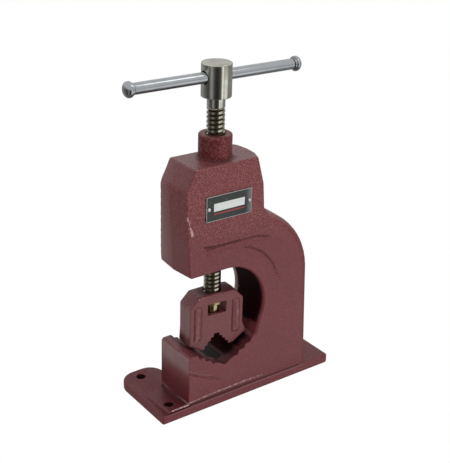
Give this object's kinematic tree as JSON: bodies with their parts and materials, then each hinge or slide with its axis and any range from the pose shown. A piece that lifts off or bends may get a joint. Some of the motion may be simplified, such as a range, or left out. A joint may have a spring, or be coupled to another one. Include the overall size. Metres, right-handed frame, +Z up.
{
  "type": "pipe vise",
  "caption": "Open-sided bench pipe vise: a cast C-frame with a stepped lower V jaw, and a screw with a sliding bar handle that lifts and lowers a swivelling upper jaw.",
  "frame": {"origin": "on the underside of the base, straight below the screw's axis", "axes": "+Z up along the screw, from the base to the handle; -X towards the open mouth, +X towards the spine; -Y is the side with the nameplate, +Y the side with the two base ears"},
  "size_m": [0.2233, 0.0857, 0.325],
  "materials": {
    "frame_enamel": "maroon hammered enamel over cast iron",
    "jaw_enamel": "maroon hammered enamel over cast iron, worn at the foot",
    "screw_steel": "turned steel, oiled in the thread",
    "handle_chrome": "bright plated bar and caps",
    "washer_zinc": "yellow zinc plating",
    "plate_metal": "dark printed field with a bare metal edge",
    "rivet_steel": "bare rivet heads"
  },
  "bodies": {
    "frame": {"frame_casting": "frame_enamel", "nameplate": "plate_metal", "nameplate_rivet_left": "rivet_steel", "nameplate_rivet_right": "rivet_steel"},
    "washer": {"retaining_washer": "washer_zinc"},
    "jaw": {"upper_jaw": "jaw_enamel"},
    "screw": {"spindle": "screw_steel"},
    "handle": {"handle_bar": "handle_chrome", "handle_cap_left": "handle_chrome", "handle_cap_right": "handle_chrome"}
  },
  "joints": [
    {"name": "jaw_travel", "type": "slide", "parent": "frame", "child": "washer", "axis": [0, 0, 1], "range_m": [-0.00101, 0.02201]},
    {"name": "jaw_swivel", "type": "hinge", "parent": "washer", "child": "jaw", "pos_m": [0, 0, 0.1], "axis": [0, 0, 1], "range_deg": [-5, 15]},
    {"name": "screw_turn", "type": "hinge", "parent": "washer", "child": "screw", "pos_m": [0, 0, 0.2], "axis": [0, 0, 1], "range_deg": [-90, 1980]},
    {"name": "handle_slide", "type": "slide", "parent": "screw", "child": "handle", "axis": [1, 0, 0], "range_m": [-0.0688, 0.0688]}
  ],
  "couplings": [
    {"joint": "jaw_travel", "follows": "screw_turn", "m_per_rad": 0.00063662}
  ]
}
